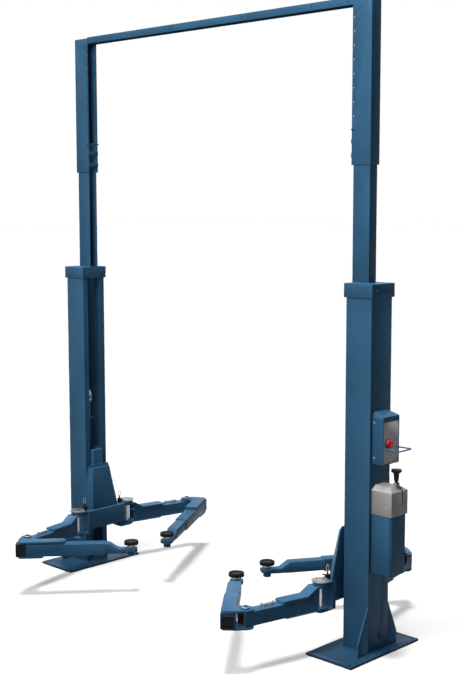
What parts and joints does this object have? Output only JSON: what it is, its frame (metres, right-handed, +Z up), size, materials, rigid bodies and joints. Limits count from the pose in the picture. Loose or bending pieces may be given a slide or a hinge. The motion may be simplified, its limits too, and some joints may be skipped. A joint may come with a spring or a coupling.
{
  "type": "two post car lift",
  "caption": "Steel vehicle lift with two anchored posts, an overhead beam, sliding carriages and folding arms with rubber pads.",
  "frame": {"origin": "on the floor, at the centre of the lift's footprint; the middle between the posts lies 72 mm towards -X", "axes": "+X from the left post to the right post with the controls, +Y to the rear of the bay, +Z up"},
  "size_m": [3.4948, 2.0444, 4.376],
  "materials": {
    "blue_paint": "semi-gloss",
    "bare_steel": "brushed",
    "grey_plastic": "matte",
    "black_plastic": "matte",
    "white_plastic": "matte",
    "red_plastic": "gloss",
    "black_rubber": "matte"
  },
  "bodies": {
    "frame": {"left_base_plate": "blue_paint", "left_column": "blue_paint", "left_collar": "blue_paint", "left_riser": "blue_paint", "left_upper_sleeve": "blue_paint", "left_lift_cylinder": "blue_paint", "right_base_plate": "blue_paint", "right_column": "blue_paint", "right_collar": "blue_paint", "right_riser": "blue_paint", "right_upper_sleeve": "blue_paint", "right_lift_cylinder": "blue_paint", "long_beam": "blue_paint", "short_beam": "blue_paint", "control_box": "blue_paint", "control_panel": "grey_plastic", "switch_guard": "blue_paint", "power_unit_cover": "blue_paint", "power_unit_hood": "grey_plastic", "motor_end": "black_plastic", "tank_bottom": "black_plastic"},
    "left_carriage": {"left_carriage": "blue_paint", "left_carriage_guard": "blue_paint", "left_slide_blocks": "white_plastic", "left_arm_locks": "black_plastic"},
    "left_rod": {"left_cylinder_rod": "bare_steel"},
    "left_front_arm": {"left_front_arm": "blue_paint", "left_front_pin": "bare_steel"},
    "left_front_forearm": {"left_front_forearm": "blue_paint"},
    "left_front_extension": {"left_front_extension": "blue_paint"},
    "left_front_pad": {"left_front_pad_screw": "bare_steel", "left_front_pad": "black_rubber"},
    "left_rear_arm": {"left_rear_arm": "blue_paint", "left_rear_pin": "bare_steel"},
    "left_rear_forearm": {"left_rear_forearm": "blue_paint"},
    "left_rear_extension": {"left_rear_extension": "blue_paint"},
    "left_rear_pad": {"left_rear_pad_screw": "bare_steel", "left_rear_pad": "black_rubber"},
    "right_carriage": {"right_carriage": "blue_paint", "right_carriage_guard": "blue_paint", "right_slide_blocks": "white_plastic", "right_arm_locks": "black_plastic"},
    "right_rod": {"right_cylinder_rod": "bare_steel"},
    "right_front_arm": {"right_front_arm": "blue_paint", "right_front_pin": "bare_steel"},
    "right_front_forearm": {"right_front_forearm": "blue_paint"},
    "right_front_extension": {"right_front_extension": "blue_paint"},
    "right_front_pad": {"right_front_pad_screw": "bare_steel", "right_front_pad": "black_rubber"},
    "right_rear_arm": {"right_rear_arm": "blue_paint", "right_rear_pin": "bare_steel"},
    "right_rear_forearm": {"right_rear_forearm": "blue_paint"},
    "right_rear_extension": {"right_rear_extension": "blue_paint"},
    "right_rear_pad": {"right_rear_pad_screw": "bare_steel", "right_rear_pad": "black_rubber"},
    "main_switch": {"main_switch": "red_plastic"},
    "lowering_lever": {"lowering_lever": "black_plastic"}
  },
  "joints": [
    {"name": "left_carriage_lift", "type": "slide", "parent": "frame", "child": "left_carriage", "axis": [0, 0, 1], "range_m": [-0.25, 1.45]},
    {"name": "left_rod_lift", "type": "slide", "parent": "frame", "child": "left_rod", "axis": [0, 0, 1], "range_m": [-0.125, 0.725]},
    {"name": "left_front_arm_swing", "type": "hinge", "parent": "left_carriage", "child": "left_front_arm", "pos_m": [-1.39, -0.268, 0.308], "axis": [0, 0, 1], "range_deg": [-20, 15]},
    {"name": "left_front_forearm_fold", "type": "hinge", "parent": "left_front_arm", "child": "left_front_forearm", "pos_m": [-1.26338, -0.86369, 0.308], "axis": [0, 0, -1], "range_deg": [-40, 127.4]},
    {"name": "left_front_arm_extend", "type": "slide", "parent": "left_front_forearm", "child": "left_front_extension", "axis": [0.6508, 0.7593, 0], "range_m": [0, 0.3]},
    {"name": "left_front_pad_raise", "type": "slide", "parent": "left_front_extension", "child": "left_front_pad", "axis": [0, 0, 1], "range_m": [0, 0.04]},
    {"name": "left_rear_arm_swing", "type": "hinge", "parent": "left_carriage", "child": "left_rear_arm", "pos_m": [-1.39, 0.268, 0.308], "axis": [0, 0, -1], "range_deg": [-20, 35]},
    {"name": "left_rear_forearm_fold", "type": "hinge", "parent": "left_rear_arm", "child": "left_rear_forearm", "pos_m": [-1.26338, 0.86369, 0.308], "axis": [0, 0, 1], "range_deg": [-33, 136.3]},
    {"name": "left_rear_arm_extend", "type": "slide", "parent": "left_rear_forearm", "child": "left_rear_extension", "axis": [0.5255, -0.8508, 0], "range_m": [-0.228, 0.05]},
    {"name": "left_rear_pad_raise", "type": "slide", "parent": "left_rear_extension", "child": "left_rear_pad", "axis": [0, 0, 1], "range_m": [0, 0.04]},
    {"name": "right_carriage_lift", "type": "slide", "parent": "frame", "child": "right_carriage", "axis": [0, 0, 1], "range_m": [-0.25, 1.45]},
    {"name": "right_rod_lift", "type": "slide", "parent": "frame", "child": "right_rod", "axis": [0, 0, 1], "range_m": [-0.125, 0.725]},
    {"name": "right_front_arm_swing", "type": "hinge", "parent": "right_carriage", "child": "right_front_arm", "pos_m": [1.246, -0.268, 0.308], "axis": [0, 0, -1], "range_deg": [-20, 15]},
    {"name": "right_front_forearm_fold", "type": "hinge", "parent": "right_front_arm", "child": "right_front_forearm", "pos_m": [1.11938, -0.86369, 0.308], "axis": [0, 0, 1], "range_deg": [-40, 127.4]},
    {"name": "right_front_arm_extend", "type": "slide", "parent": "right_front_forearm", "child": "right_front_extension", "axis": [-0.6508, 0.7593, 0], "range_m": [0, 0.3]},
    {"name": "right_front_pad_raise", "type": "slide", "parent": "right_front_extension", "child": "right_front_pad", "axis": [0, 0, 1], "range_m": [0, 0.04]},
    {"name": "right_rear_arm_swing", "type": "hinge", "parent": "right_carriage", "child": "right_rear_arm", "pos_m": [1.246, 0.268, 0.308], "axis": [0, 0, 1], "range_deg": [-20, 35]},
    {"name": "right_rear_forearm_fold", "type": "hinge", "parent": "right_rear_arm", "child": "right_rear_forearm", "pos_m": [1.11938, 0.86369, 0.308], "axis": [0, 0, -1], "range_deg": [-33, 136.3]},
    {"name": "right_rear_arm_extend", "type": "slide", "parent": "right_rear_forearm", "child": "right_rear_extension", "axis": [-0.5255, -0.8508, 0], "range_m": [-0.228, 0.05]},
    {"name": "right_rear_pad_raise", "type": "slide", "parent": "right_rear_extension", "child": "right_rear_pad", "axis": [0, 0, 1], "range_m": [0, 0.04]},
    {"name": "main_switch_turn", "type": "hinge", "parent": "frame", "child": "main_switch", "pos_m": [1.62575, -0.032, 1.463], "axis": [1, 0, 0], "range_deg": [0, 90]},
    {"name": "lowering_lever_tilt", "type": "hinge", "parent": "frame", "child": "lowering_lever", "pos_m": [1.66275, 0.012, 1.188], "axis": [0, 1, 0], "range_deg": [0, 40], "stiffness_Nm_per_rad": 1.5, "springref_deg": -14.32}
  ],
  "couplings": [
    {"joint": "right_carriage_lift", "follows": "left_carriage_lift", "ratio": 1},
    {"joint": "left_rod_lift", "follows": "left_carriage_lift", "ratio": 0.5},
    {"joint": "right_rod_lift", "follows": "left_carriage_lift", "ratio": 0.5}
  ]
}
